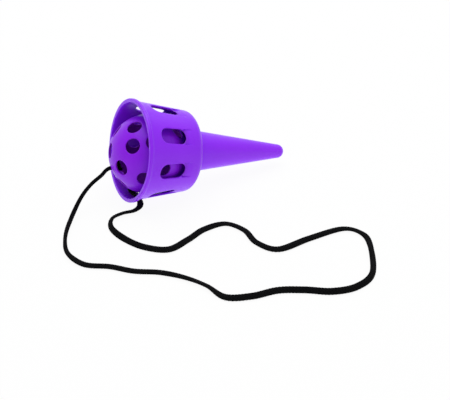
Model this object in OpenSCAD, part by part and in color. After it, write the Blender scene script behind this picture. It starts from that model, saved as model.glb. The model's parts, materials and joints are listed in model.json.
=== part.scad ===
// Cup and ball toy: a slotted cup with a hollow cone handle, a perforated ball and a flat cord.
// It lies on its side with the ball in the cup, +Z up, mouth towards -X and handle towards +X.
// Millimetres. The origin is on the table, under the middle of the toy.

/* [Cup] */
// Outer diameter of the bead round the mouth
rim_d = 54.4; // [54:0.2:60]
// Length of the bead along the cup
rim_h = 1.9; // [1.4:0.1:3]
// Radius on the edges of the bead
rim_edge_r = 0.5; // [0.3:0.1:0.7]
// Outer diameter that the wall would have at the mouth plane
cup_front_d = 53; // [51:0.1:53.6]
// Outer diameter that the wall would have at the base plane
cup_back_d = 42.3; // [38:0.1:46]
// Depth of the cup, from the mouth to the outside of its base
cup_depth = 33.8; // [33:0.2:40]
// Thickness of the cup's wall
cup_wall = 1.3; // [1:0.1:1.5]
// Thickness of the base
base_t = 2.6; // [1.6:0.1:3.4]
// Outer radius between wall and base
corner_r = 4; // [2.5:0.1:6]

/* [Slots] */
// Number of slots round the cup
slot_count = 8; // [6:1:9]
// Length of a slot along the cup
slot_l = 15.1; // [10:0.1:17]
// Width of a slot round the cup
slot_w = 8.2; // [6:0.1:10]
// Corner radius of a slot
slot_r = 3.9; // [1.5:0.1:3.9]
// Distance from the mouth to the slots
slot_start = 7.8; // [5:0.1:9]
// Depth of the shut-off flat at the back end of a slot
flat_t = 0.7; // [0.3:0.1:0.7]
// How far the flat reaches back along the round end of the slot
flat_lap = 1.2; // [0.5:0.1:2.4]

/* [Handle] */
// Length of the handle, from the base of the cup to its tip
handle_l = 59.4; // [45:0.2:90]
// Diameter of the handle at the base of the cup
handle_d = 22.9; // [18:0.1:26]
// Diameter of the round tip
tip_d = 7.6; // [6:0.1:12]
// Thickness of the handle's wall
handle_wall = 1.8; // [1.2:0.1:2.4]
// Radius where the handle meets the base
root_r = 1; // [0.5:0.1:2]

/* [Ball] */
// Diameter of the ball
ball_d = 42; // [40:0.2:43]
// Thickness of the ball's shell
ball_wall = 1; // [1:0.1:2]
// Diameter of the large holes
hole_d = 8; // [5:0.1:8.4]
// Angle from the pole to the inner ring of holes
inner_ring = 38.5; // [34:0.5:40]
// Number of holes in the inner ring
inner_count = 4; // [3:1:5]
// Angle from the pole to the outer ring of holes
outer_ring = 64.5; // [60:0.5:66]
// Number of holes in the outer ring
outer_count = 8; // [6:1:9]
// Diameter of the cord's hole
cord_hole_d = 3.4; // [3.3:0.1:4.5]
// Angle from the pole to the cord's hole
cord_hole_ring = 38; // [36:0.5:42]

/* [Cord] */
// Width of the flat cord
cord_w = 3.2; // [2.4:0.1:3.2]
// Thickness of the flat cord
cord_t = 1.6; // [1:0.1:1.6]
// Thickness of the cord in its knots, where it is drawn round and tight
knot_cord_d = 1.8; // [1.4:0.1:1.9]
// Distance from the middle of a knot to the middle of its outer loops
knot_r = 3.2; // [3.1:0.1:3.8]
// Width of the cord where it is drawn tight round the bar of the cup
tie_w = 1.8; // [1.4:0.1:2.2]
// Thickness of the cord where it is drawn tight round the bar of the cup
tie_t = 0.6; // [0.5:0.05:0.8]

/* [Lie] */
// Angle of the axis to the table, with the rim propped on the cord
lie_tilt = 13; // [11:0.5:16]
// Turn of the cup about its axis, from one slot straight down
cup_turn = 1.5; // [0:0.1:4]
// Side lean of the ball in the cup, from straight down
ball_lean = -10; // [-15:1:30]
// Clearance between the ball and what it rests on
seat_gap = 0.3; // [0.2:0.05:0.6]
// Direction of the ball's pole, round from +X
pole_turn = 205.5; // [190:0.5:225]
// Direction of the ball's pole, up from level
pole_lift = 1.5; // [-10:0.5:15]
// Turn of the ball's hole pattern about its pole
ball_turn = 71.2; // [60:0.1:80]

/* [Hidden] */
$fn = 96;
// Facets round the ball, fewer because its many holes multiply them
ball_fn = 84;
purple = [0.54, 0.19, 0.93];
black = [0.05, 0.05, 0.06];
// Overrun of cutting tools past the face that they cut
over = 1;

// Profile of the cup and handle: radius against distance from the mouth
toy_l = cup_depth + handle_l;
taper = (cup_front_d - cup_back_d) / 2 / cup_depth;
taper_a = atan(taper);
function wall_r(s) = cup_front_d / 2 - taper * s;
function inner_r(s) = wall_r(s) - cup_wall / cos(taper_a);
corner_s = cup_depth - corner_r;
corner_mid_r = wall_r(corner_s) - corner_r / cos(taper_a);
inner_corner_r = max(corner_r - cup_wall, 0.5);
floor_s = cup_depth - base_t;
inner_corner_s = floor_s - inner_corner_r;
inner_corner_mid_r = inner_r(inner_corner_s) - inner_corner_r / cos(taper_a);

// The handle's side is the line from its root that touches the tip's circle
tip_r = tip_d / 2;
tip_s = toy_l - tip_r;
side_len = norm([handle_d / 2, tip_s - cup_depth]);
side_a = acos(tip_r / side_len) - atan2(tip_s - cup_depth, handle_d / 2);
hollow_tip_r = max(tip_r - handle_wall, 0.6);
throat_r = handle_d / 2 - handle_wall / cos(side_a);

// Where the ball rests: one seat gap from the cup's wall and from the edge of the throat,
// or all round the wall if it is too large to reach the throat
ball_r = ball_d / 2;
rest_r = ball_r + seat_gap;
rest_0 = inner_r(0) - rest_r / cos(taper_a);
rest_b = taper * (throat_r - rest_0) - floor_s;
rest_c = pow(floor_s, 2) + pow(throat_r - rest_0, 2) - pow(rest_r, 2);
throat_rest_s = (-rest_b - sqrt(pow(rest_b, 2) - (1 + pow(taper, 2)) * rest_c)) / (1 + pow(taper, 2));
ball_s = min(throat_rest_s, rest_0 / taper);
ball_off = rest_0 - taper * ball_s;

// Lie of the toy: the base corner touches the table
mouth_z = corner_s * sin(lie_tilt) + corner_mid_r * cos(lie_tilt) + corner_r;
ball_dx = ball_s * cos(lie_tilt) - ball_off * cos(ball_lean) * sin(lie_tilt);
left_x = min(ball_dx - ball_r, -rim_d / 2 * sin(lie_tilt));
right_x = tip_s * cos(lie_tilt) + tip_r;
mouth_x = -(left_x + right_x) / 2;
ball_at = [mouth_x + ball_dx, ball_off * sin(ball_lean),
           mouth_z - ball_s * sin(lie_tilt) - ball_off * cos(ball_lean) * cos(lie_tilt)];

// The cord's hole lies midway between two holes of the inner ring
cord_hole_turn = ball_turn + 2.5 * 360 / inner_count;

// Knot of the drawn cord, seated inside the shell of the ball
knot_k = knot_r / 3;
knot_h = 2 * knot_k + knot_cord_d;
knot_reach = knot_r + knot_cord_d / 2;
knot_z = sqrt(pow(ball_r - ball_wall, 2) - pow(knot_reach, 2)) - knot_h / 2 - seat_gap;
// Stretch of the trefoil that the knot follows, and the way of its end up to the hole, in steps of knot_k
knot_from = 150;
knot_to = 450;
knot_lead = [[0.2, 1.65, 1.25], [-0.19, 0.94, 1.36], [-0.14, 0.33, 1.69], [0, 0.05, 2.25], [0, 0, 2.9]];
// Length of cord that stands out of the ball
cord_out = 1.5;

// The tie round the bar between the lowest slot and the next one on the far side
tie_gap = 0.05;
bar_mid = cup_turn + 180 / slot_count;
tie_s = slot_start + tie_w / 2 + 2 * tie_gap;
slot_in = min(slot_r, slot_w / 2 - tie_gap, slot_l / 2 - tie_gap);
slot_half_w = slot_w / 2 - slot_in + sqrt(pow(slot_in, 2) - pow(max(slot_in + slot_start - tie_s, 0), 2));
bar_half = 180 / slot_count - asin(slot_half_w / wall_r(tie_s));
tie_in_r = inner_r(tie_s + tie_w / 2) - tie_gap - tie_t / 2;
tie_out_r = wall_r(tie_s - tie_w / 2) + tie_gap + tie_t / 2;
// Route of the cord's cut tail along the inside of the rim: angle from the lowest line, distance from the mouth
tail_route = [[2, 5.4], [-2, 4.6], [-8, 4.2], [-16, 4.1], [-24, 4.2], [-32, 4.4]];

// Route of the cord, by hand: from the ball's hole down to the table
fall_route = [[-51.75, 3.29, 17.72], [-55.3, 3.05, 15], [-61.3, 2.2, 11.7], [-67.7, -1, 7.9], [-74.2, -7.2, 4],
              [-80.5, -15.5, 1]];
// and then in a loose loop on the table, back under the rim of the cup to the tie
table_route = [[-80.5, -15.5, 1], [-86, -27.5, 0.8], [-88.5, -40, 0.8], [-84.5, -52, 0.8], [-74, -59, 0.8],
               [-65, -67.5, 0.8], [-54, -74, 0.8], [-45, -83, 0.8], [-38.5, -93.5, 0.8], [-34.5, -105.5, 0.8],
               [-23, -110, 0.8], [-10, -111, 0.8], [1.5, -116, 0.8], [12.5, -122.5, 0.8], [25, -124, 0.8],
               [37.5, -117.3, 0.8], [49.2, -96.3, 0.8], [51.3, -84.8, 0.8], [44.5, -77, 0.8],
               [25, -77.8, 0.8], [6.5, -80, 0.8], [-0.5, -70, 0.8], [-1, -57, 0.8], [-7, -47.2, 0.8],
               [-19, -47.5, 0.8], [-30.5, -53, 0.8], [-42.5, -57, 0.8], [-52.5, -50, 0.8], [-58.5, -39, 0.8],
               [-61, -26.5, 0.8], [-57.6, -17.8, 0.8], [-51, -15.1, 0.8], [-44, -15, 0.8], [-38.9, -10, 0.8],
               [-36.8, 3.1, 1.15]];
// Greatest distance between two rings of the cord's solid
ring_step = 2.6 * cord_w;
// Number of ring steps in which the cord is drawn narrow before the tie
draw_steps = 2;

// Smooth curve through route points: point u of the stretch between p1 and p2
function spline(p0, p1, p2, p3, u) =
    p1 + u / 2 * (p2 - p0 + u * (2 * p0 - 5 * p1 + 4 * p2 - p3 + u * (3 * (p1 - p2) + p3 - p0)));
function clear_of_table(p) = [p.x, p.y, max(p.z, cord_t / 2)];
function smooth_route(r) = [
    for (i = [0 : len(r) - 2]) let (steps = ceil(norm(r[i + 1] - r[i]) / ring_step)) for (j = [0 : steps - 1])
        clear_of_table(spline(r[max(i - 1, 0)], r[i], r[i + 1], r[min(i + 2, len(r) - 1)], j / steps)),
    r[len(r) - 1]];

function unit(v) = v / norm(v);
function tangent(r, i, closed) = closed
    ? unit(r[(i + 1) % len(r)] - r[(i + len(r) - 1) % len(r)])
    : unit(r[min(i + 1, len(r) - 1)] - r[max(i - 1, 0)]);

// Eight-sided section of a flat cord at p, square to t, with its thickness along up
section_n = 8;
function cord_ring(p, t, up, w, h) =
    let (side = unit(cross(t, up)), top = cross(side, t), k = 1 / cos(180 / section_n))
    [for (i = [0 : section_n - 1]) let (a = 360 / section_n * (i + 0.5))
        p + side * w / 2 * k * cos(a) + top * h / 2 * k * sin(a)];

// One solid through a row of rings, closed into a loop or capped at both ends
module swept(rings, closed) {
    n = len(rings);
    m = len(rings[0]);
    last = closed ? n - 1 : n - 2;
    caps = closed ? [] : [[for (j = [m - 1 : -1 : 0]) j], [for (j = [0 : m - 1]) (n - 1) * m + j]];
    sides = [for (i = [0 : last]) for (j = [0 : m - 1])
        let (a = i * m + j, b = i * m + (j + 1) % m, c = (i + 1) % n * m + j, d = (i + 1) % n * m + (j + 1) % m)
        each [[a, b, c], [b, d, c]]];
    polyhedron([for (r = rings) each r], concat(caps, sides), convexity = 10);
}

module flat_cord(route, w, h, up = [0, 0, 1]) {
    swept([for (i = [0 : len(route) - 1]) cord_ring(route[i], tangent(route, i, false), up, w, h)], false);
}

// Trefoil in the XY plane, round its own centre
function trefoil(a) = knot_k * [sin(a) + 2 * sin(2 * a), cos(a) - 2 * cos(2 * a), -sin(3 * a)];

// Places what is modelled on the cup's axis: Z from the mouth to the tip, X to the lowest side
module on_toy_axis() {
    translate([mouth_x, 0, mouth_z]) rotate([0, 90 + lie_tilt, 0]) children();
}

// Places what is modelled on the ball: Z along its pole
module on_ball() {
    translate(ball_at) rotate([0, 90 - pole_lift, pole_turn]) children();
}

module at_hole(ring, turn) {
    rotate([0, ring, turn]) children();
}

module cup_outside() {
    wall_s = corner_s + corner_r * sin(taper_a);
    polygon([[0, 0], [wall_r(0), 0], [wall_r(wall_s), wall_s], [corner_mid_r, corner_s],
             [corner_mid_r, cup_depth], [0, cup_depth]]);
    translate([corner_mid_r, corner_s]) circle(corner_r);
    translate([0, rim_edge_r]) square([rim_d / 2, rim_h - 2 * rim_edge_r]);
    square([rim_d / 2 - rim_edge_r, rim_h]);
    for (s = [rim_edge_r, rim_h - rim_edge_r]) translate([rim_d / 2 - rim_edge_r, s]) circle(rim_edge_r);
}

module handle_outside() {
    polygon([[0, floor_s], [handle_d / 2, floor_s], [handle_d / 2, cup_depth],
             [tip_r * cos(side_a), tip_s + tip_r * sin(side_a)], [0, tip_s]]);
    intersection() {
        translate([0, tip_s]) circle(tip_r);
        translate([0, tip_s - tip_r]) square(2 * tip_r);
    }
    // Hollow radius between the handle and the base
    difference() {
        translate([handle_d / 2 - root_r, cup_depth - root_r]) square(2 * root_r);
        translate([handle_d / 2 + root_r, cup_depth + root_r]) circle(root_r);
    }
}

module cup_inside() {
    wall_s = inner_corner_s + inner_corner_r * sin(taper_a);
    polygon([[0, -over], [inner_r(-over), -over], [inner_r(wall_s), wall_s],
             [inner_corner_mid_r, inner_corner_s], [inner_corner_mid_r, floor_s], [0, floor_s]]);
    translate([inner_corner_mid_r, inner_corner_s]) circle(inner_corner_r);
}

module handle_inside() {
    polygon([[0, floor_s - over], [throat_r, floor_s - over], [throat_r, cup_depth],
             [hollow_tip_r, tip_s], [0, tip_s]]);
}

module slot_outline() {
    translate([-slot_w / 2 + slot_in, 0]) square([slot_w - 2 * slot_in, slot_l]);
    translate([-slot_w / 2, slot_in]) square([slot_w, slot_l - 2 * slot_in]);
    for (x = [-1, 1], y = [slot_in, slot_l - slot_in]) translate([x * (slot_w / 2 - slot_in), y]) circle(slot_in);
}

// Slot through the wall, and the shut-off flat that runs from it towards the base
module slot_cut() {
    slot_end = slot_start + slot_l;
    flat_r = wall_r(slot_end) - flat_t;
    rotate([90, 0, 90]) translate([0, slot_start, 0]) linear_extrude(rim_d) slot_outline();
    difference() {
        translate([0, -slot_w / 2, slot_end - flat_lap]) cube([rim_d, slot_w, cup_depth - slot_end + flat_lap]);
        cylinder(r = flat_r, h = cup_depth + over);
    }
}

module cup_and_handle() {
    color(purple) on_toy_axis() difference() {
        rotate_extrude() difference() {
            union() {
                cup_outside();
                handle_outside();
            }
            cup_inside();
            handle_inside();
        }
        for (i = [0 : slot_count - 1]) rotate(cup_turn + i * 360 / slot_count) slot_cut();
    }
}

// Round cut through the shell alone, so that the cuts of neighbours stay apart
module hole_cut(d) {
    translate([0, 0, ball_r - ball_wall - d / 4]) cylinder(d = d, h = ball_r);
}

module ball_holes() {
    hole_cut(hole_d);
    for (i = [0 : inner_count - 1])
        at_hole(inner_ring, ball_turn + i * 360 / inner_count) hole_cut(hole_d);
    for (i = [0 : outer_count - 1])
        at_hole(outer_ring, ball_turn + (i + 0.5) * 360 / outer_count) hole_cut(hole_d);
}

// Half of the ball's shell on the +Z side, with its holes
module ball_half() {
    $fn = ball_fn;
    difference() {
        // Turned with the holes, so that the spheres' seams cross them squarely
        rotate([0, 0, ball_turn]) sphere(ball_r);
        rotate([0, 0, ball_turn]) sphere(ball_r - ball_wall);
        translate([-ball_d, -ball_d, -2 * ball_d]) cube(2 * ball_d);
        ball_holes();
    }
}

module ball_front_half() {
    color(purple) on_ball() difference() {
        ball_half();
        at_hole(cord_hole_ring, cord_hole_turn) hole_cut(cord_hole_d);
    }
}

module ball_rear_half() {
    color(purple) on_ball() mirror([0, 0, 1]) ball_half();
}

// Knot inside the ball, whose end leads out through the hole and flattens on the way
module ball_knot() {
    steps = 40;
    loops = [for (i = [0 : steps]) trefoil(knot_from + (knot_to - knot_from) * i / steps)];
    route = concat(loops, knot_k * knot_lead, [[0, 0, ball_r + cord_out - knot_z]]);
    rings = [for (i = [0 : len(route) - 1]) let (u = max(i - steps, 0) / (len(route) - 1 - steps))
        cord_ring(route[i], tangent(route, i, false), [u, 0, 1 - u],
                  knot_cord_d + u * (cord_w - knot_cord_d), knot_cord_d + u * (cord_t - knot_cord_d))];
    color(black) on_ball() at_hole(cord_hole_ring, cord_hole_turn) translate([0, 0, knot_z]) swept(rings, false);
}

module cord_to_ball() {
    color(black) flat_cord(smooth_route(fall_route), cord_w, cord_t);
}

// Cord on the table, drawn narrow where it goes up into the lowest slot
module cord_on_table() {
    route = smooth_route(table_route);
    last = len(route) - 1;
    rings = [for (i = [0 : last]) let (u = max(i - last + draw_steps, 0) / draw_steps)
        cord_ring(route[i], tangent(route, i, false), [0, 0, 1],
                  cord_w + u * (tie_w - cord_w), cord_t + u * (tie_t - cord_t))];
    color(black) swept(rings, false);
}

// Direction from the cup's axis to p
function outward(p) = unit([p.x, p.y, 0]);

// Point on the cup's axis frame, at radius r, angle a from the lowest line and distance s
function round_cup(r, a, s) = [r * cos(a), r * sin(a), s];

// Loop of the cord round the bar: inside, out through one slot, outside and back in
function tie_route() =
    let (mid_r = (tie_in_r + tie_out_r) / 2, turn_r = (tie_out_r - tie_in_r) / 2, n = 6)
    concat(
        [for (i = [0 : n]) round_cup(tie_in_r, bar_mid - bar_half + 2 * bar_half * i / n, tie_s)],
        [for (i = [1 : n - 1]) let (a = bar_mid + bar_half, b = 180 * i / n)
            round_cup(mid_r, a, tie_s) + turn_r * round_cup(-cos(b), a, 0) + turn_r * sin(b) * [-sin(a), cos(a), 0]],
        [for (i = [0 : n]) round_cup(tie_out_r, bar_mid + bar_half - 2 * bar_half * i / n, tie_s)],
        [for (i = [1 : n - 1]) let (a = bar_mid - bar_half, b = 180 * i / n)
            round_cup(mid_r, a, tie_s) + turn_r * round_cup(cos(b), a, 0) - turn_r * sin(b) * [-sin(a), cos(a), 0]]);

// Tie round the bar, with the cord's cut tail along the inside of the rim
module cup_tie() {
    loop = tie_route();
    tail = [for (p = tail_route) round_cup(inner_r(p.y + cord_w / 2) - tie_gap - cord_t / 2, p.x, p.y)];
    color(black) on_toy_axis() {
        swept([for (i = [0 : len(loop) - 1]) let (t = tangent(loop, i, true))
            cord_ring(loop[i], t, cross([0, 0, 1], t), tie_w, tie_t)], true);
        flat_cord(tail, cord_w, cord_t, outward(tail[0]));
    }
}

cup_and_handle();
ball_front_half();
ball_rear_half();
ball_knot();
cord_to_ball();
cord_on_table();
cup_tie();
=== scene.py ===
# Cup and ball toy on a white table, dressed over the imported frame. Sizes in mm, placed in metres.
import json
import math

import bmesh
import bpy
import numpy as np
from mathutils import Matrix, Vector
from mathutils.geometry import delaunay_2d_cdt


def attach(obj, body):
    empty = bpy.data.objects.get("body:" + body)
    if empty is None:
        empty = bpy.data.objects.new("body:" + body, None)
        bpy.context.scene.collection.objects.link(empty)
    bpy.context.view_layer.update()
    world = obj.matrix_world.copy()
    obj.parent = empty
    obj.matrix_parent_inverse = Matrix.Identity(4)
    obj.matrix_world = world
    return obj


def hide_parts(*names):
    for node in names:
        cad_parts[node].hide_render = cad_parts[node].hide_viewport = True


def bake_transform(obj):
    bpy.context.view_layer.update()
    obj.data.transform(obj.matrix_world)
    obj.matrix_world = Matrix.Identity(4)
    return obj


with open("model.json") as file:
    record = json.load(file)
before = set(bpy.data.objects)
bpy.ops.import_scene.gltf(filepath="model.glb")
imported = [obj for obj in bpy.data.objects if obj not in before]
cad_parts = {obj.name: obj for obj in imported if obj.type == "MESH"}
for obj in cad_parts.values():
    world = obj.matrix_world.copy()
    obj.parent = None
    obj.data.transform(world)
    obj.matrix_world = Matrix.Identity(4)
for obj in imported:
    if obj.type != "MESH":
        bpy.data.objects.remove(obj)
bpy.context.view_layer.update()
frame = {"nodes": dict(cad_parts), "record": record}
joints = {j["name"]: j for j in frame["record"]["behaviour"]["joints"]}
mounts = {m["name"]: m for m in frame["record"]["mounts"]}
mm = 0.001
toMetres = Matrix.Scale(mm, 4)
print("frame loaded:", sorted(frame["nodes"]))

# Where the photograph was taken from
photoView = {
    "stand": (-0.21708, -0.49161, 0.30485), "aim": (0.00363, -0.02433, 0.0),
    "lens": 90.35, "sensor": 36.0, "clip": 0.01,
}


def setCamera(view):
    data = bpy.data.cameras.new("photoCamera")
    data.sensor_fit = "HORIZONTAL"
    data.sensor_width = view["sensor"]
    data.lens = view["lens"]
    data.clip_start = view["clip"]
    camera = bpy.data.objects.new("photoCamera", data)
    bpy.context.scene.collection.objects.link(camera)
    stand = Vector(view["stand"])
    camera.location = stand
    camera.rotation_euler = (Vector(view["aim"]) - stand).to_track_quat("-Z", "Y").to_euler()
    bpy.context.scene.camera = camera


setCamera(photoView)
print("camera set")


# Shader maths as plain expressions
class Wire:
    def __init__(self, finish, socket):
        self.finish = finish
        self.socket = socket

    def math(self, operation, first, second):
        return self.finish.node("ShaderNodeMath", {"operation": operation}, {0: first, 1: second})

    def __add__(self, other):
        return self.math("ADD", self, other)

    def __radd__(self, other):
        return self.math("ADD", other, self)

    def __sub__(self, other):
        return self.math("SUBTRACT", self, other)

    def __mul__(self, other):
        return self.math("MULTIPLY", self, other)

    def __or__(self, other):
        return self.math("MAXIMUM", self, other)


class Finish:
    def __init__(self, owner):
        self.owner = owner
        owner.use_nodes = True
        self.tree = owner.node_tree
        self.tree.nodes.clear()

    def node(self, kind, settings=None, sockets=None, out=0):
        made = self.tree.nodes.new(kind)
        for key, value in (settings or {}).items():
            if key == "stops":
                ramp = made.color_ramp.elements
                for i, (place, tone) in enumerate(value):
                    stop = ramp[i] if i < 2 else ramp.new(place)
                    stop.position = place
                    stop.color = (tone, tone, tone, 1)
            else:
                setattr(made, key, value)
        for key, value in (sockets or {}).items():
            if isinstance(value, Wire):
                self.tree.links.new(value.socket, made.inputs[key])
            else:
                made.inputs[key].default_value = value
        return Wire(self, made.outputs[out]) if made.outputs else made

    def noise(self, place, scale, detail=2.0, rough=0.5):
        sizes = {"Vector": place, "Scale": scale, "Detail": detail, "Roughness": rough}
        return self.node("ShaderNodeTexNoise", None, sizes)

    def ramp(self, value, *stops):
        return self.node("ShaderNodeValToRGB", {"stops": stops}, {"Fac": value})

    def vector(self, operation, first, second, out=0):
        return self.node("ShaderNodeVectorMath", {"operation": operation}, {0: first, 1: second}, out)

    def blend(self, share, first, second):
        return self.node("ShaderNodeMix", {"data_type": "RGBA"}, {0: share, 6: first, 7: second}, out=2)


# Purple moulded plastic: slow drift of the pigment, fine skin of the tool, faint handling marks, and painted
# shade on the faces inside
# Scales of the noises, per metre, and how far each one shows
plasticGrain = {
    "drift": 38, "speck": 900, "marks": 170, "skin": 1500,
    "speckShare": 0.25, "marksRough": 0.12, "speckRough": 0.03, "skinDepth": 0.00015, "ior": 1.5,
}


def mouldedPlastic(name, look):
    grain = plasticGrain
    material = bpy.data.materials.new(name)
    finish = Finish(material)
    place = finish.node("ShaderNodeTexCoord", out="Object")
    drift = finish.ramp(finish.noise(place, grain["drift"], 2), (0.3, 0.0), (0.7, 1.0))
    speck = finish.ramp(finish.noise(place, grain["speck"], 3, 0.6), (0.42, 0.0), (0.72, 1.0))
    marks = finish.ramp(finish.noise(place, grain["marks"], 6, 0.72), (0.52, 0.0), (0.8, 1.0))
    skin = finish.noise(place, grain["skin"], 2)
    share = drift * (1 - grain["speckShare"]) + speck * grain["speckShare"]
    colour = finish.blend(share, look["deep"] + (1,), look["tone"] + (1,))
    # Inside faces are painted darker and less blue: painted shade where the inside lies in shadow
    colour = finish.blend(look["within"](finish, place), colour, look["inner"] + (1,))
    bump = finish.node("ShaderNodeBump", None, {
        "Strength": look["skin"],
        "Distance": grain["skinDepth"],
        "Height": skin,
    })
    surface = finish.node("ShaderNodeBsdfPrincipled", None, {
        "Base Color": colour,
        "Roughness": look["rough"] + marks * grain["marksRough"] + speck * grain["speckRough"],
        "Normal": bump,
        "IOR": grain["ior"],
        "Specular IOR Level": look["shine"],
    })
    finish.node("ShaderNodeOutputMaterial", None, {"Surface": surface})
    return material


# Black polyester yarn: filaments that follow each strand, a little paler where they catch the light
def blackYarn(name, look):
    material = bpy.data.materials.new(name)
    finish = Finish(material)
    uv = finish.node("ShaderNodeUVMap", {"uv_map": "yarn"})
    along = finish.node("ShaderNodeSeparateXYZ", None, {0: uv}, out="X")
    around = finish.node("ShaderNodeSeparateXYZ", None, {0: uv}, out="Y")
    spun = finish.node("ShaderNodeCombineXYZ", None, {
        "X": along * look["stretch"],
        "Y": around * look["filaments"] + along * look["spin"],
    })
    fibre = finish.noise(spun, 1.0, 3, 0.6)
    place = finish.node("ShaderNodeTexCoord", out="Object")
    wear = finish.ramp(finish.noise(place, look["wear"], 3), (0.35, 0.0), (0.75, 1.0))
    lift = finish.ramp(fibre, (0.35, 0.0), (0.72, 1.0))
    share = lift * (1 - look["wearShare"]) + wear * look["wearShare"]
    colour = finish.blend(share, look["deep"] + (1,), look["pale"] + (1,))
    bump = finish.node("ShaderNodeBump", None, {"Strength": 0.5, "Distance": look["depth"], "Height": fibre})
    surface = finish.node("ShaderNodeBsdfPrincipled", None, {
        "Base Color": colour,
        "Roughness": look["rough"] + lift * look["liftRough"],
        "Normal": bump,
        "Specular IOR Level": look["shine"],
    })
    finish.node("ShaderNodeOutputMaterial", None, {"Surface": surface})
    return material


cordYarn = blackYarn("cordYarn", {
    "deep": (0.0015, 0.0015, 0.002), "pale": (0.006, 0.006, 0.0065), "filaments": 9.0, "spin": 1.4,
    "stretch": 0.6, "wear": 120, "wearShare": 0.25, "depth": 0.00006,
    "rough": 0.62, "liftRough": 0.2, "shine": 0.03})
print("yarn made")


def newPiece(name, mesh, *finishes):
    piece = bpy.data.objects.new(name, mesh)
    bpy.context.scene.collection.objects.link(piece)
    mesh.materials.clear()
    for finish in finishes:
        mesh.materials.append(finish)
    return piece


def meshFrom(name, points, faces):
    mesh = bpy.data.meshes.new(name)
    mesh.from_pydata([tuple(p) for p in points], [], [tuple(f) for f in faces])
    return mesh


# Ball's place and turn, from its swivel
ballShape = {
    "d": 42.0, "wall": 1.0, "holeD": 8.0, "innerRing": 38.5, "innerCount": 4,
    "outerRing": 64.5, "outerCount": 8, "cordHoleD": 3.4, "cordHoleRing": 38.0,
    "turn": 71.2, "poleTurn": 205.5, "poleLift": 1.5, "lipOut": 0.3, "lipIn": 0.15,
    "around": 48, "grain": 1.15, "seam": 0.07, "seamAround": 144, "sharp": 35,
}
ballAt = Vector(joints["ball_swivel"]["pos_m"])
cordAxis = Vector(joints["ball_swivel"]["axis"]).normalized()
poleTurn = Matrix.Rotation(math.radians(ballShape["poleTurn"]), 4, "Z")
poleLift = Matrix.Rotation(math.radians(90 - ballShape["poleLift"]), 4, "Y")
ballPlace = Matrix.Translation(ballAt) @ poleTurn @ poleLift
cordHoleTurn = math.radians(ballShape["turn"] + 2.5 * 360 / ballShape["innerCount"])

# Cup's place, from its mouth: local Z runs to the tip, local X to the lowest side
mouthAxis = Vector(mounts["mouth_rim"]["axis"])
mouthAt = Vector((mounts["mouth_rim"]["pos_m"][0], 0, mounts["mouth_rim"]["pos_m"][2]))
lieTilt = math.atan2(mouthAxis.z, -mouthAxis.x)
toyPlace = Matrix.Translation(mouthAt) @ Matrix.Rotation(math.pi / 2 + lieTilt, 4, "Y")

# Route of the cord, as in the part's source: out of the ball, down and round on the table to the tie
cordRoute = [
    (-0.05175, 0.00329, 0.01772), (-0.0553, 0.00305, 0.015), (-0.0613, 0.0022, 0.0117),
    (-0.0677, -0.001, 0.0079), (-0.0742, -0.0072, 0.004), (-0.0805, -0.0155, 0.001),
    (-0.086, -0.0275, 0.0008), (-0.0885, -0.04, 0.0008), (-0.0845, -0.052, 0.0008),
    (-0.074, -0.059, 0.0008), (-0.065, -0.0675, 0.0008), (-0.054, -0.074, 0.0008),
    (-0.045, -0.083, 0.0008), (-0.0385, -0.0935, 0.0008), (-0.0345, -0.1055, 0.0008),
    (-0.023, -0.11, 0.0008), (-0.01, -0.111, 0.0008), (0.0015, -0.116, 0.0008),
    (0.0125, -0.1225, 0.0008), (0.025, -0.124, 0.0008), (0.0375, -0.1173, 0.0008),
    (0.0492, -0.0963, 0.0008), (0.0513, -0.0848, 0.0008), (0.0445, -0.077, 0.0008),
    (0.025, -0.0778, 0.0008), (0.0065, -0.08, 0.0008), (-0.0005, -0.07, 0.0008),
    (-0.001, -0.057, 0.0008), (-0.007, -0.0472, 0.0008), (-0.019, -0.0475, 0.0008),
    (-0.0305, -0.053, 0.0008), (-0.0425, -0.057, 0.0008), (-0.0525, -0.05, 0.0008),
    (-0.0585, -0.039, 0.0008), (-0.061, -0.0265, 0.0008), (-0.0576, -0.0178, 0.0008),
    (-0.051, -0.0151, 0.0008), (-0.044, -0.015, 0.0008), (-0.0389, -0.01, 0.0008),
    (-0.0368, 0.0031, 0.00115),
]
# Distance along the cord in mm, and its lean there from lying flat, in degrees
cordLean = [
    (0, 68), (11, 54), (33, 96), (56, 100), (62, 112), (75, 172), (84, 186), (125, 184), (142, 156),
    (150, 156), (161, 208), (222, 224), (236, 224), (245, 208), (259, 210), (270, 180), (276, 196),
    (286, 172), (315, 152), (342, 186), (357, 186), (368, 162), (381, 164), (393, 150), (420, 156),
    (434, 116), (468, 180), (490, 180),
]
cordShape = {
    "width": 3.5, "thick": 1.9, "strands": 6, "pitch": 9.2, "step": 0.39, "yarnW": 1.08, "yarnT": 0.46,
    "wave": 0.13, "sides": 5, "startIn": 19.2, "neck": 0.88, "neckLength": 8.0, "drawn": (0.51, 0.34),
    "drawLength": 13.0, "soften": 12, "clear": 0.02, "tip": 1.7, "size": (3.2, 1.6),
    "held": 3.0, "pulled": 66.0,
}
braidCore = {"step": 3, "sides": 8}


def unitRows(rows):
    return rows / np.maximum(np.linalg.norm(rows, axis=1, keepdims=True), 1e-12)


def headings(line, closed):
    # Unit directions along a line of points
    return unitRows(np.roll(line, -1, 0) - np.roll(line, 1, 0) if closed else np.gradient(line, axis=0))


def distances(line):
    # Distance of each point from the first, along the line
    return np.concatenate([[0], np.cumsum(np.linalg.norm(np.diff(line, axis=0), axis=1))])


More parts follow.
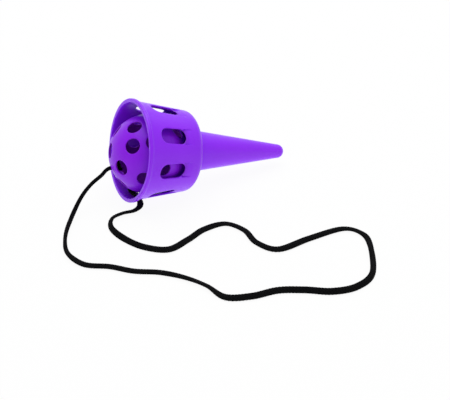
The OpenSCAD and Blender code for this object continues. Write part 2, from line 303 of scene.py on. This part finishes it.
def smoothThrough(points, step, fineSteps=40, fewest=8):
    # Catmull-Rom curve, resampled to even steps
    given = np.array(points, float)
    padded = np.vstack([given[:1], given, given[-1:]])
    fine = []
    for p0, p1, p2, p3 in zip(padded, padded[1:], padded[2:], padded[3:]):
        u = np.linspace(0, 1, fineSteps, endpoint=False)[:, None]
        bend = 2 * p0 - 5 * p1 + 4 * p2 - p3 + u * (3 * (p1 - p2) + p3 - p0)
        fine.append(p1 + u / 2 * (p2 - p0 + u * bend))
    fine = np.vstack(fine + [given[-1:]])
    run = distances(fine)
    even = np.linspace(0, run[-1], max(int(round(run[-1] / step)), fewest) + 1)
    return np.column_stack([np.interp(even, run, fine[:, i]) for i in range(3)]), even


def tube(centres, across, out, halfW, halfT, sides, closed):
    # One strand: rings of points round the centres, with quads and uv along and around
    count = len(centres)
    turns = np.arange(sides) * 2 * math.pi / sides
    points = centres[:, None] + across[:, None] * (halfW * np.cos(turns))[:, :, None]
    points = points + out[:, None] * (halfT * np.sin(turns))[:, :, None]
    last = count if closed else count - 1
    i, k = np.meshgrid(np.arange(last), np.arange(sides), indexing="ij")
    j, m = (i + 1) % count, (k + 1) % sides
    quads = np.stack([i * sides + k, j * sides + k, j * sides + m, i * sides + m], -1).reshape(-1, 4)
    run = distances(centres)
    run = np.append(run, run[-1] + np.linalg.norm(centres[0] - centres[-1]))
    rise = np.stack([run[i], run[i + 1], run[i + 1], run[i]], -1).reshape(-1)
    spin = np.stack([k, k, k + 1, k + 1], -1).reshape(-1) / sides
    return points.reshape(-1, 3), quads, np.column_stack([rise, spin])


def braid(name, path, up, shape, closed=False, drawn=None):
    # Flattened tubular braid over a core; path in mm, up is the direction of its thickness
    # drawn scales its width and thickness from point to point
    ahead = headings(path, closed)
    side = unitRows(np.cross(ahead, up))
    top = np.cross(side, ahead)
    run = distances(path)
    turns = 2 * math.pi / shape["pitch"]
    if closed:
        turns = max(round(run[-1] / shape["pitch"]), 1) * 2 * math.pi / run[-1]
    count = shape["strands"]
    reach = shape["yarnT"] / 2 + shape["wave"]
    wide, thick = np.ones((2, len(path), 1)) if drawn is None else drawn
    halfW, halfT = (shape["width"] / 2 - reach) * wide, (shape["thick"] / 2 - reach) * thick
    parts = []
    for way in (1, -1):
        for i in range(count):
            a = way * turns * run + 2 * math.pi * i / count
            lift = (way * shape["wave"] * np.cos(count * a))[:, None]
            x, y = np.cos(a)[:, None], np.sin(a)[:, None]
            line = path + side * x * (halfW + lift * wide) + top * y * (halfT + lift * thick)
            out = unitRows(side * x / halfW + top * y / halfT)
            lead = headings(line, closed)
            across = unitRows(np.cross(out, lead))
            yarn = (shape["yarnW"] / 2 * wide, shape["yarnT"] / 2 * thick)
            parts.append(tube(line, across, np.cross(lead, across), *yarn, shape["sides"], closed))
    core = slice(None, None, braidCore["step"])
    lines = [rows[core] for rows in (path, side, top, halfW, halfT)]
    parts.append(tube(*lines, braidCore["sides"], closed))
    starts = np.cumsum([0] + [len(p[0]) for p in parts])
    points = np.vstack([p[0] for p in parts]) * mm
    quads = np.vstack([p[1] + s for p, s in zip(parts, starts)])
    mesh = meshFrom(name, points.tolist(), quads.tolist())
    mesh.uv_layers.new(name="yarn").data.foreach_set("uv", np.vstack([p[2] for p in parts]).ravel())
    mesh.shade_smooth()
    return mesh


def layCord(route, leans, shape):
    inside = ballAt + cordAxis * shape["startIn"] * mm
    path, run = smoothThrough([tuple(inside)] + route, shape["step"] * mm)
    lean = np.radians(np.interp(run / mm, *zip(*leans)))
    window = np.hanning(2 * shape["soften"] + 1)
    lean = np.convolve(np.pad(lean, shape["soften"], mode="edge"), window / window.sum(), mode="valid")
    # Squeezed in the ball's hole, and drawn narrow where it goes under the wall to the tie
    end = run[-1] / mm
    neck = np.interp(run / mm, [shape["neckLength"] / 2, shape["neckLength"]], [shape["neck"], 1])
    ease = np.interp(run / mm, [end - shape["drawLength"], end], [0, 1])
    drawn = [(neck * (1 + ease * (share - 1)))[:, None] for share in shape["drawn"]]
    # On its edge the cord stands higher, tipped over the edge that lies nearer the camera
    wide, thick = (size / 2 * share[:, 0] for size, share in zip((shape["width"], shape["thick"]), drawn))
    half = np.hypot(wide * np.sin(lean), thick * np.cos(lean))
    rise = np.maximum((half + shape["clear"]) * mm - path[:, 2], 0)[:, None]
    near = Vector(photoView["stand"]).to_2d().normalized()
    path += rise * np.array([[near.x * shape["tip"], near.y * shape["tip"], 1]])
    ahead = headings(path, False)
    side = unitRows(np.cross(ahead, (0, 0, 1)))
    top = np.cross(side, ahead)
    up = top * np.cos(lean)[:, None] + side * np.sin(lean)[:, None]
    mesh = braid("cord", path / mm, up, shape, drawn=drawn)
    # Distance along the cord of each point of its mesh, in braid's order: the strands, then the core
    along = [np.repeat(run, shape["sides"])] * (2 * shape["strands"])
    along.append(np.repeat(run[::braidCore["step"]], braidCore["sides"]))
    return newPiece("cord", mesh, cordYarn), path, np.concatenate(along)


cord, cordPath, cordAlong = layCord(cordRoute, cordLean, cordShape)

# Knot inside the ball: an open trefoil of the drawn cord whose end leads up to the hole
knotShape = {
    "width": 1.9, "thick": 1.9, "strands": 6, "pitch": 6.4, "step": 0.3, "yarnW": 0.62, "yarnT": 0.36,
    "wave": 0.09, "sides": 5, "reach": 3.2, "from": 150, "to": 450, "steps": 41, "rim": 0.9, "clear": 1.2,
    "lead": [(0.2, 1.65, 1.25), (-0.19, 0.94, 1.36), (-0.14, 0.33, 1.69), (0, 0.05, 2.25), (0, 0, 2.9)],
    "leadLength": 4,
}


def tieKnot(shape):
    k = shape["reach"] / 3
    a = np.radians(np.linspace(shape["from"], shape["to"], shape["steps"]))
    loops = [np.sin(a) + 2 * np.sin(2 * a), np.cos(a) - 2 * np.cos(2 * a), -np.sin(3 * a)]
    within = ballShape["d"] / 2 - ballShape["wall"]
    centre = math.sqrt(within ** 2 - (shape["reach"] + shape["rim"]) ** 2) - k - shape["clear"]
    way = np.vstack([k * np.column_stack(loops), k * np.array(shape["lead"])])
    path, run = smoothThrough(way, shape["step"])
    # The braid's thickness turns from the knot's axis to across it where the end leads up
    share = np.clip((run - run[-1] + shape["leadLength"]) / shape["leadLength"], 0, 1)[:, None]
    up = np.array([[0, 0, 1.0]]) * (1 - share) + np.array([[1.0, 0, 0]]) * share
    mesh = braid("ballKnot", path + (0, 0, centre), up, shape)
    down = Matrix.Rotation(math.radians(ballShape["cordHoleRing"]), 4, "Y")
    mesh.transform(ballPlace @ (Matrix.Rotation(cordHoleTurn, 4, "Z") @ down))
    return newPiece("ballKnot", mesh, cordYarn)


ballKnot = tieKnot(knotShape)

# Cup: radius against distance from the mouth
cupShape = {
    "rimD": 54.4, "rimH": 1.9, "rimEdge": 0.5, "frontD": 53.0, "backD": 42.3, "depth": 33.8, "wall": 1.3,
    "base": 2.6, "corner": 4.0, "handleL": 59.4, "handleD": 22.9, "tipD": 7.6, "handleWall": 1.8, "root": 1.0,
    "mouthEdge": 0.35, "throatEdge": 0.4, "rimFoot": 0.45, "rimClear": 0.6,
    "columns": 24, "grain": 0.9, "sharp": 50,
}
slotShape = {
    "count": 8, "turn": 1.5, "long": 15.1, "wide": 8.2, "corner": 3.9, "start": 7.8, "flat": 0.7,
    "lap": 1.2, "lipOut": 0.4, "lipIn": 0.3, "step": 0.12, "clear": 0.45, "lineGap": 0.3, "lineStep": 0.4,
}
weldGap = 0.004
toyL = cupShape["depth"] + cupShape["handleL"]
taper = (cupShape["frontD"] - cupShape["backD"]) / 2 / cupShape["depth"]
taperA = math.atan(taper)


def wallR(s):
    return cupShape["frontD"] / 2 - taper * s


def innerR(s):
    return wallR(s) - cupShape["wall"] / math.cos(taperA)


# Tie: the cord drawn round the bar between two slots, and its cut tail along the inside of the rim
tieShape = {
    "loop": {
        "width": 1.8, "thick": 0.7, "strands": 6, "pitch": 6.4, "step": 0.3,
        "yarnW": 0.64, "yarnT": 0.24, "wave": 0.05, "sides": 5,
    },
    "tail": [(2, 5.4), (-2, 5.3), (-8, 5.2), (-16, 4.9), (-24, 4.6), (-32, 4.4)],
    "gap": 0.05, "thick": 0.6, "turns": 7,
}


def roundCup(r, a, s):
    return (r * math.cos(a), r * math.sin(a), s)


def tieLoop(shape):
    loop = shape["loop"]
    s = slotShape["start"] + loop["width"] / 2 + 2 * shape["gap"]
    reach = slotShape["corner"]
    half = slotShape["wide"] / 2 - reach + math.sqrt(reach ** 2 - (reach + slotShape["start"] - s) ** 2)
    mid = math.radians(slotShape["turn"]) + math.pi / slotShape["count"]
    span = math.pi / slotShape["count"] - math.asin(half / wallR(s))
    inR = innerR(s + loop["width"] / 2) - shape["gap"] - shape["thick"] / 2
    outR = wallR(s - loop["width"] / 2) + shape["gap"] + shape["thick"] / 2
    bend = (outR - inR) / 2
    sweep = np.linspace(-1, 1, shape["turns"])
    way = [roundCup(inR, mid + span * t, s) for t in sweep]
    for side, edge in ((1, mid + span), (-1, mid - span)):
        c, d = math.cos(edge), math.sin(edge)
        for b in np.radians(np.linspace(0, 180, shape["turns"]))[1:-1]:
            r = (inR + outR) / 2 - side * bend * math.cos(b)
            swing = side * bend * math.sin(b)
            way.append((r * c - swing * d, r * d + swing * c, s))
        if side == 1:
            way += [roundCup(outR, mid - span * t, s) for t in sweep]
    path, _ = smoothThrough(way + way[:1], loop["step"])
    path = path[:-1]
    ring = braid("tieLoop", path, np.cross((0, 0, 1.0), headings(path, True)), loop, closed=True)
    wide, thick = cordShape["size"]
    way = []
    for a, t in shape["tail"]:
        way.append(roundCup(innerR(t + wide / 2) - shape["gap"] - thick / 2, math.radians(a), t))
    path, _ = smoothThrough(way, cordShape["step"])
    tail = braid("tieTail", path, unitRows(path * (1, 1, 0)), {**cordShape, "width": wide, "thick": thick})
    both = bmesh.new()
    both.from_mesh(ring)
    both.from_mesh(tail)
    mesh = bpy.data.meshes.new("cupTie")
    both.to_mesh(mesh)
    both.free()
    mesh.transform(toyPlace)
    return newPiece("cupTie", mesh, cordYarn)


cupTie = tieLoop(tieShape)
print("knot and tie made")


# One tree for what repeats round an axis: hole lips on the ball, sectors of the cup
def roundPattern():
    tree = bpy.data.node_groups.new("roundPattern", "GeometryNodeTree")
    inputs = {
        "Geometry": "Geometry", "Count": "Int", "Ring Angle": "Float",
        "Turn": "Float", "Weld": "Float", "Finish": "Material",
    }
    sockets = {}
    for label, kind in inputs.items():
        made = tree.interface.new_socket(name=label, in_out="INPUT", socket_type="NodeSocket" + kind)
        sockets[label] = made.identifier
    tree.interface.new_socket(name="Geometry", in_out="OUTPUT", socket_type="NodeSocketGeometry")

    def add(kind, links, **settings):
        made = tree.nodes.new(kind)
        for key, value in settings.items():
            setattr(made, key, value)
        for key, value in links.items():
            if isinstance(value, bpy.types.NodeSocket):
                tree.links.new(value, made.inputs[key])
            else:
                made.inputs[key].default_value = value
        return made

    given = add("NodeGroupInput", {}).outputs
    points = add("GeometryNodePoints", {"Count": given["Count"]}).outputs[0]
    index = add("GeometryNodeInputIndex", {}).outputs[0]
    step = add("ShaderNodeMath", {0: 2 * math.pi, 1: given["Count"]}, operation="DIVIDE").outputs[0]
    turn = add("ShaderNodeMath", {0: index, 1: step, 2: given["Turn"]}, operation="MULTIPLY_ADD").outputs[0]
    angles = add("ShaderNodeCombineXYZ", {"Y": given["Ring Angle"], "Z": turn}).outputs[0]
    spin = add("FunctionNodeEulerToRotation", {0: angles}).outputs[0]
    links = {"Points": points, "Instance": given["Geometry"], "Rotation": spin}
    copies = add("GeometryNodeInstanceOnPoints", links).outputs[0]
    real = add("GeometryNodeRealizeInstances", {0: copies}).outputs[0]
    welded = add("GeometryNodeMergeByDistance", {"Geometry": real, "Distance": given["Weld"]}).outputs[0]
    dressed = add("GeometryNodeSetMaterial", {"Geometry": welded, "Material": given["Finish"]}).outputs[0]
    add("NodeGroupOutput", {0: dressed})
    return tree, sockets


patternTree, patternSockets = roundPattern()


def repeatRound(mesh, finish, count, ring=0.0, turn=0.0, weld=0.0):
    # Runs the tree on one mesh and gives back the plain result
    piece = newPiece("patternBase", mesh, finish)
    modifier = piece.modifiers.new("pattern", "NODES")
    modifier.node_group = patternTree
    values = {"Count": count, "Ring Angle": ring, "Turn": turn, "Weld": weld, "Finish": finish}
    for label, value in values.items():
        modifier[patternSockets[label]] = value
    graph = bpy.context.evaluated_depsgraph_get()
    result = bpy.data.meshes.new_from_object(piece.evaluated_get(graph))
    piece.modifiers.remove(modifier)
    bpy.data.objects.remove(piece)
    return result


def meshPoints(mesh):
    flat = np.empty(len(mesh.vertices) * 3)
    mesh.vertices.foreach_get("co", flat)
    return flat.reshape(-1, 3)


def sealed(mesh, name, place, weld, sharp):
    # Merges doubles, turns faces outwards, smooths and sets the piece in its place
    work = bmesh.new()
    work.from_mesh(mesh)
    bmesh.ops.remove_doubles(work, verts=work.verts, dist=weld)
    bmesh.ops.recalc_face_normals(work, faces=work.faces)
    loose = sum(1 for e in work.edges if len(e.link_faces) != 2)
    for face in work.faces:
        face.smooth = True
    result = bpy.data.meshes.new(name)
    work.to_mesh(result)
    work.free()
    result.set_sharp_from_angle(angle=math.radians(sharp))
    result.transform(place @ toMetres)
    print(name, "faces:", len(result.polygons), "open edges:", loose)
    return result


def addFaces(work, points, faces):
    made = [work.verts.new(p) for p in points]
    for face in faces:
        work.faces.new([made[i] for i in face])


def fillSkin(flat, loops, keepFace):
    # Delaunay fill of a flat layout whose loops stay as edges
    edges = [(loop[i], loop[(i + 1) % len(loop)]) for loop in loops for i in range(len(loop))]
    _, _, faces, origin, _, _ = delaunay_2d_cdt([Vector(p) for p in flat], edges, [], 0, 1e-7, True)
    named = [[origin[v][0] for v in face] for face in faces if all(origin[v] for v in face)]
    return [face for face in named if keepFace(face)]


# Mask for the painted shade on the inside face of the ball's shell
def paintedShadeInBall(finish, place):
    reach = finish.vector("DISTANCE", place, ballAt, "Value") * 1000
    small = ballShape["d"] / 2 - ballShape["wall"]
    return finish.ramp((reach - small) * (1 / ballShape["wall"]), (0.3, 1.0), (0.7, 0.0))


# The inner colour is painted shade on the inside face of the shell
ballPlastic = mouldedPlastic("ballPlastic", {
    "tone": (0.246, 0.007, 0.75), "deep": (0.221, 0.005, 0.695), "inner": (0.18, 0.004, 0.4),
    "within": paintedShadeInBall, "rough": 0.34, "shine": 0.18, "skin": 0.06})


# Ball: two moulded halves with rounded holes
def lipProfile(half, out, inn):
    big, small = ballShape["d"] / 2, ballShape["d"] / 2 - ballShape["wall"]
    ro, ri = half + out, half + inn
    zo, zi = math.sqrt((big - out) ** 2 - ro ** 2), math.sqrt((small + inn) ** 2 - ri ** 2)
    outTurns = np.linspace(math.atan2(zo, ro), math.pi, 6)
    inTurns = np.linspace(math.pi, math.pi + math.atan2(zi, ri), 4)
    rows = [(ro + out * math.cos(t), zo + out * math.sin(t)) for t in outTurns]
    return rows + [(ri + inn * math.cos(t), zi + inn * math.sin(t)) for t in inTurns]


def bandFaces(rows, count, full):
    # Quads between rows of points, closed round or open
    faces = []
    for i in range(rows - 1):
        for k in range(count if full else count - 1):
            m = (k + 1) % count
            faces.append((i * count + k, i * count + m, (i + 1) * count + m, (i + 1) * count + k))
    return faces


def lathe(rows, around, start=0.0, span=2 * math.pi):
    # Turns rows of (radius, height) round Z, as a full ring or a sector
    full = abs(span - 2 * math.pi) < 1e-6
    turns = start + np.linspace(0, span, around + 1)[:around if full else None]
    count = len(turns)
    points = [(r * math.cos(t), r * math.sin(t), z) for r, z in rows for t in turns]
    return points, bandFaces(len(rows), count, full)


def spread(radius, grain):
    # Evenly spread points on a half sphere
    count = int(2 * math.pi * radius ** 2 / (grain * grain * 0.87))
    i = np.arange(count)
    z = 1 - (i + 0.5) / count
    a = i * math.pi * (3 - math.sqrt(5))
    r = np.sqrt(1 - z * z)
    return np.column_stack([r * np.cos(a), r * np.sin(a), z])


def ballHalf(name, flip, withCord):
    shape = ballShape
    big, small = shape["d"] / 2, shape["d"] / 2 - shape["wall"]
    turn = math.radians(shape["turn"])
    rings = [(shape["holeD"], 0.0, 0.0, 1), (shape["holeD"], shape["innerRing"], turn, shape["innerCount"]),
             (shape["holeD"], shape["outerRing"], turn + math.pi / shape["outerCount"], shape["outerCount"])]
    if withCord:
        rings.append((shape["cordHoleD"], shape["cordHoleRing"], cordHoleTurn, 1))
    around = shape["around"]
    work = bmesh.new()
    outLoops, inLoops, centres = [], [], []
    for width, ring, start, count in rings:
        rows = lipProfile(width / 2, shape["lipOut"], shape["lipIn"])
        lip = meshFrom("lip", *lathe(rows, around))
        mesh = repeatRound(lip, ballPlastic, count, math.radians(ring), start)
        work.from_mesh(mesh)
        points = meshPoints(mesh).reshape(count, len(rows), around, 3)
        outLoops += list(points[:, 0])
        inLoops += list(points[:, -1])
        # No loose point of the skin lies over a hole or against its lip
        limit = math.cos(math.asin((width / 2 + shape["lipOut"]) / big) + 0.03)
        centres += [(unitRows(p.mean(0)[None])[0], limit) for p in points[:, 0]]
    seam = shape["seam"]
    edge = [(math.sqrt(big ** 2 - seam ** 2), seam), (big - seam, 0.0), (small + 0.2, 0.0), (small, 0.001)]
    points, faces = lathe(edge, shape["seamAround"])
    addFaces(work, points, faces)
    rim = np.array(points).reshape(len(edge), shape["seamAround"], 3)
    for radius, loops, border in ((big, outLoops, rim[0]), (small, inLoops, rim[3])):
        free = spread(radius, shape["grain"])
        free = free[(free[:, 2] > 0.045) & np.all([free @ c < limit for c, limit in centres], axis=0)]
        placed = np.vstack(loops + [border, free * radius])
        way = unitRows(placed)
        flat = way[:, :2] / (1 + way[:, 2:])
        sizes = [len(l) for l in loops] + [len(border)]
        # Each loop is one owner and each loose point its own, so a face inside one loop has a single owner
        owner = np.concatenate([np.full(n, i) for i, n in enumerate(sizes)] + [np.arange(len(free)) + 1000])
        starts = np.cumsum([0] + sizes)
        runs = [list(range(s, s + n)) for s, n in zip(starts, sizes)]
        addFaces(work, placed, fillSkin(flat, runs, lambda f: len(set(owner[f])) > 1))
    mesh = bpy.data.meshes.new(name)
    work.to_mesh(mesh)
    work.free()
    if flip:
        mesh.transform(Matrix.Scale(-1, 4, (0, 0, 1)))
    return newPiece(name, sealed(mesh, name, ballPlace, weldGap, shape["sharp"]), ballPlastic)


ballFront = ballHalf("ballFront", False, True)
ballRear = ballHalf("ballRear", True, False)


# Mask for the painted shade inside the cup and the hollow handle, from just behind the mouth
def paintedShadeInCup(finish, place):
    off = finish.vector("SUBTRACT", place, mouthAt)
    s = finish.vector("DOT_PRODUCT", off, -mouthAxis, "Value") * 1000
    side = finish.vector("CROSS_PRODUCT", off, -mouthAxis)
    # Radius at the mouth of the cone through the point, which tells the faces of the wall apart
    out = finish.vector("LENGTH", side, (0, 0, 0), "Value") * 1000 + s * taper
    behind = finish.ramp((out - innerR(0)) * (1 / (wallR(0) - innerR(0))), (0.3, 1.0), (0.7, 0.0))
    deep = finish.ramp(s * (1 / cupShape["depth"]), (0.01, 0.0), (0.06, 1.0), (0.95, 1.0), (0.97, 0.0))
    hollow = finish.ramp(out * (1 / wallR(0)), (0.612, 1.0), (0.632, 0.0))
    return behind * deep | hollow * finish.ramp(s * (1 / toyL), (0.6, 1.0), (0.65, 0.0))


# The inner colour is painted shade inside the cup and the hollow handle
cupPlastic = mouldedPlastic("cupPlastic", {
    "tone": (0.25, 0.008, 0.84), "deep": (0.225, 0.005, 0.785), "inner": (0.17, 0.004, 0.54),
    "within": paintedShadeInCup, "rough": 0.3, "shine": 0.36, "skin": 0.05})


# Cup and handle: one sector with its slot, repeated round the axis
def arc(centre, radius, first, last, count):
    return [(centre[0] + radius * math.cos(t), centre[1] + radius * math.sin(t))
            for t in np.radians(np.linspace(first, last, count))]


def slotLine(grow):
    # Outline of a slot, grown by a margin: (across, along) points
    shape = slotShape
    corner = shape["corner"]
    dx = shape["wide"] / 2 - corner
    low, high = shape["start"] + corner, shape["start"] + shape["long"] - corner
    line = []
    for cx, cs, first in ((dx, high, 0), (-dx, high, 90), (-dx, low, 180), (dx, low, 270)):
        line += arc((cx, cs), corner + grow, first, first + 90, 15)
        if first in (0, 180):
            continue
        x = cx + (corner + grow) * math.cos(math.radians(first + 90))
        ends = (high, low) if first == 90 else (low, high)
        line += [(x, s) for s in np.linspace(*ends, 9)[1:-1]]
    return line


def outerAt(y, s):
    # Outside of the wall with the shut-off flat behind each slot, as a distance out from the axis
    shape = slotShape
    end = shape["start"] + shape["long"]
    r = wallR(s)
    floor = wallR(end) - shape["flat"]
    inY = min(max((shape["wide"] / 2 + shape["step"] - abs(y)) / (2 * shape["step"]), 0), 1)
    inS = min(max((s - end + shape["lap"] + shape["step"]) / (2 * shape["step"]), 0), 1)
    r -= max(r - floor, 0) * inY * inS
    return math.sqrt(r * r - y * y)


def innerAt(y, s):
    return math.sqrt(innerR(s) ** 2 - y * y)


def wallPanel(radius, place, low, high, grow, lines):
    # Skin of one sector between two heights, open at the slot
    columns = cupShape["columns"]
    half = math.pi / slotShape["count"]
    scale = radius(0.5 * (low + high))
    rows = int(round((high - low) / cupShape["grain"]))
    turns = np.linspace(-half, half, columns + 1)
    heights = np.linspace(low, high, rows + 1)
    ring = [(math.asin(y / radius(s)), s) for y, s in slotLine(grow)]
    frameLine = [(t, low) for t in turns] + [(half, s) for s in heights[1:-1]]
    frameLine += [(t, high) for t in turns[::-1]] + [(-half, s) for s in heights[1:-1][::-1]]
    mid = slotShape["start"] + slotShape["long"] / 2
    slotEnd = slotShape["start"] + slotShape["long"]
    free = []
    for i, s in enumerate(heights[1:-1]):
        for t in (turns[1:-1] if i % 2 else (turns[1:-1] + turns[:-2]) / 2):
            y = radius(s) * math.sin(t)
            dx = max(abs(y) - slotShape["wide"] / 2 + slotShape["corner"], 0)
            ds = max(abs(s - mid) - slotShape["long"] / 2 + slotShape["corner"], 0)
            near = any(abs(abs(y) - a) < slotShape["lineGap"] and s > slotEnd - 2 for a in lines)
            if math.hypot(dx, ds) > slotShape["corner"] + grow + slotShape["clear"] and not near:
                free.append((t, s))
    extra = []
    for a in lines:
        for side in (-1, 1):
            for s in np.arange(slotEnd - 1.4, high - 0.6, slotShape["lineStep"]):
                extra.append((side * math.asin(a / radius(s)), s))
    both = ring + frameLine + extra + free
    flat = [(t * scale, s) for t, s in both]
    runs = [list(range(len(ring))), list(range(len(ring), len(ring) + len(frameLine)))]
    inside = len(ring)
    faces = fillSkin(flat, runs, lambda f: any(i >= inside for i in f))
    points = []
    for t, s in both:
        y = radius(s) * math.sin(t)
        points.append((place(y, s), y, s))
    return points, faces


def slotLip():
    # Rounded edges of the slot and the wall's thickness between them
    out, inn = slotShape["lipOut"], slotShape["lipIn"]

    def depth(y, s):
        # The edges are shallower where the flat leaves a thin wall
        return min(0.8 * (outerAt(y, s) - innerAt(y, s)) / (out + inn), 1)

    rows = []
    for t in np.radians(np.linspace(0, 90, 6)):
        line = slotLine(out * (1 - math.sin(t)))
        rows.append([(outerAt(y, s) - depth(y, s) * out * (1 - math.cos(t)), y, s) for y, s in line])
    for t in np.radians(np.linspace(90, 0, 4)):
        line = slotLine(inn * (1 - math.sin(t)))
        rows.append([(innerAt(y, s) + depth(y, s) * inn * (1 - math.cos(t)), y, s) for y, s in line])
    count = len(rows[0])
    points = [p for row in rows for p in row]
    return points, bandFaces(len(rows), count, True)


def cupSector():
    shape = cupShape
    depth, corner = shape["depth"], shape["corner"]
    tilt = math.degrees(taperA)
    rimR, edge, lip = shape["rimD"] / 2, shape["rimEdge"], shape["mouthEdge"]
    foot = shape["rimFoot"]
    top = shape["rimH"] + shape["rimClear"]
    # Bead round the mouth, from the wall's outside over the front to its inside
    front = [(wallR(top), top)]
    front += arc((wallR(shape["rimH"]) + foot, shape["rimH"] + foot), foot, 180, 270, 5)
    front += arc((rimR - edge, shape["rimH"] - edge), edge, 90, 0, 6)
    front += arc((rimR - edge, edge), edge, 0, -90, 6)
    front += arc((innerR(lip) + lip, lip), lip, 270, 180, 5)
    front.append((innerR(top), top))
    # Outside of the base, handle and tip
    cornerS = depth - corner
    cornerR = wallR(cornerS) - corner / math.cos(taperA)
    outEnd = cornerS + corner * math.sin(taperA)
    tipR = shape["tipD"] / 2
    tipS = toyL - tipR
    reach = math.hypot(shape["handleD"] / 2, tipS - depth)
    lean = math.degrees(math.atan2(tipS - depth, shape["handleD"] / 2))
    sideA = math.degrees(math.acos(tipR / reach)) - lean
    rootR = shape["handleD"] / 2 + shape["root"]
    back = arc((cornerR, cornerS), corner, tilt, 90, 12)
    back[0] = (wallR(outEnd), outEnd)
    back += [(cornerR * 0.6 + rootR * 0.4, depth), (cornerR * 0.2 + rootR * 0.8, depth)]
    rootArc = arc((rootR, depth + shape["root"]), shape["root"], 270, 180 + sideA, 7)
    back += rootArc
    last = (tipR * math.cos(math.radians(sideA)), tipS + tipR * math.sin(math.radians(sideA)))
    back += [tuple(np.array(rootArc[-1]) * (1 - u) + np.array(last) * u) for u in np.linspace(0, 1, 15)[1:-1]]
    back += arc((0, tipS), tipR, sideA, 89.2, 12) + [(0.0, toyL)]
    # Inside: rounded floor, edge of the throat and the hollow of the handle
    inCorner = corner - shape["wall"]
    floorS = depth - shape["base"]
    inS = floorS - inCorner
    inR = innerR(inS) - inCorner / math.cos(taperA)
    inEnd = inS + inCorner * math.sin(taperA)
    throat = shape["handleD"] / 2 - shape["handleWall"] / math.cos(math.radians(sideA))
    hollow = tipR - shape["handleWall"]
    soft = shape["throatEdge"]
    inner = arc((inR, inS), inCorner, tilt, 90, 9)
    inner[0] = (innerR(inEnd), inEnd)
    inner += [(inR * 0.5 + throat * 0.5, floorS)] + arc((throat + soft, floorS + soft), soft, 270, 180, 5)
    inner += [(throat, depth)]
    inner += [(throat + (hollow - throat) * u, depth + (tipS - depth) * u) for u in np.linspace(0, 1, 9)[1:]]
    inner += [(0.0, tipS)]
    half = math.pi / slotShape["count"]
    work = bmesh.new()
    lines = (slotShape["wide"] / 2 - slotShape["step"], slotShape["wide"] / 2 + slotShape["step"])
    shells = [lathe(rows, shape["columns"], -half, 2 * half) for rows in (front, back, inner)]
    shells.append(wallPanel(wallR, outerAt, top, outEnd, slotShape["lipOut"], lines))
    shells.append(wallPanel(innerR, innerAt, top, inEnd, slotShape["lipIn"], ()))
    shells.append(slotLip())
    for points, faces in shells:
        addFaces(work, points, faces)
    mesh = bpy.data.meshes.new("cupSector")
    bmesh.ops.remove_doubles(work, verts=work.verts, dist=weldGap)
    work.to_mesh(mesh)
    work.free()
    return mesh


def mouldCup():
    turn = math.radians(slotShape["turn"])
    whole = repeatRound(cupSector(), cupPlastic, slotShape["count"], turn=turn, weld=weldGap)
    mesh = sealed(whole, "cupAndHandle", toyPlace, weldGap, cupShape["sharp"])
    return newPiece("cupAndHandle", mesh, cupPlastic)


cupAndHandle = mouldCup()

# What each piece rides on and stands for
for piece, body, nodes, slot in (
    (cupAndHandle, "cup", ["cup_and_handle"], "cup_plastic"),
    (cupTie, "cup", ["cup_tie"], "cord"),
    (ballKnot, "cord_end", ["ball_knot"], "cord"),
    (ballFront, "ball", ["ball_front_half"], "ball_plastic"),
    (ballRear, "ball", ["ball_rear_half"], "ball_plastic"),
):
    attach(piece, body)
    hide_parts(*nodes)
# The cord's points are laid straight by distance along it while its transform is baked, then set back as laid
laid = meshPoints(cord.data)
straight = np.column_stack([cordAlong, np.zeros((len(laid), 2))])
cord.data.vertices.foreach_set("co", straight.ravel())
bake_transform(cord)
cord.data.vertices.foreach_set("co", laid.ravel())
cord.data.update()
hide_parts("cord_to_ball", "cord_on_table")
print("pieces joined to their bodies")

# White table and soft studio light
studio = {
    "floor": 3.0, "sunk": 0.0003, "white": 0.94, "lit": 0.85, "bounce": 1.5, "world": 0.55,
    "top": 17.5, "topSize": 1.6, "topAt": (0.15, 0.25, 1.3), "topAim": (0, -0.02, 0),
}


def seenDirectly(finish):
    # 1 for rays that come from the camera, straight or by way of a shiny face
    camera = finish.node("ShaderNodeLightPath", out="Is Camera Ray")
    glossy = finish.node("ShaderNodeLightPath", out="Is Glossy Ray")
    return camera | glossy | finish.node("ShaderNodeLightPath", out="Is Transmission Ray")


def whiteTable():
    s, z = studio["floor"], -studio["sunk"]
    mesh = meshFrom("table", [(-s, -s, z), (s, -s, z), (s, s, z), (-s, s, z)], [(0, 1, 2, 3)])
    material = bpy.data.materials.new("tableTop")
    finish = Finish(material)
    seen = seenDirectly(finish)
    matt = finish.node("ShaderNodeBsdfDiffuse", None, {"Color": (0.8, 0.8, 0.8, 1)})
    strength = seen * (1 - studio["bounce"]) + studio["bounce"]
    glow = finish.node("ShaderNodeEmission", None, {"Color": (1, 1, 1, 1), "Strength": strength})
    # Lit through from below, like a photographer's table, and almost plain white where it is seen
    share = seen * (studio["white"] - studio["lit"]) + studio["lit"]
    mixed = finish.node("ShaderNodeMixShader", None, {0: share, 1: matt, 2: glow})
    finish.node("ShaderNodeOutputMaterial", None, {"Surface": mixed})
    table = newPiece("table", mesh, material)


def areaLight(name, power, size, stand, aim):
    data = bpy.data.lights.new(name, "AREA")
    data.energy = power
    data.size = size
    lamp = bpy.data.objects.new(name, data)
    bpy.context.scene.collection.objects.link(lamp)
    lamp.location = stand
    lamp.rotation_euler = (Vector(aim) - Vector(stand)).to_track_quat("-Z", "Y").to_euler()


def lightStudio():
    world = bpy.data.worlds.new("studioWorld")
    bpy.context.scene.world = world
    finish = Finish(world)
    level = seenDirectly(finish) * (1 - studio["world"]) + studio["world"]
    sky = finish.node("ShaderNodeBackground", None, {"Color": (1, 1, 1, 1), "Strength": level})
    finish.node("ShaderNodeOutputWorld", None, {"Surface": sky})
    areaLight("topLight", studio["top"], studio["topSize"], studio["topAt"], studio["topAim"])


whiteTable()
lightStudio()
bpy.context.scene.view_settings.view_transform = "Standard"
print("studio lit")
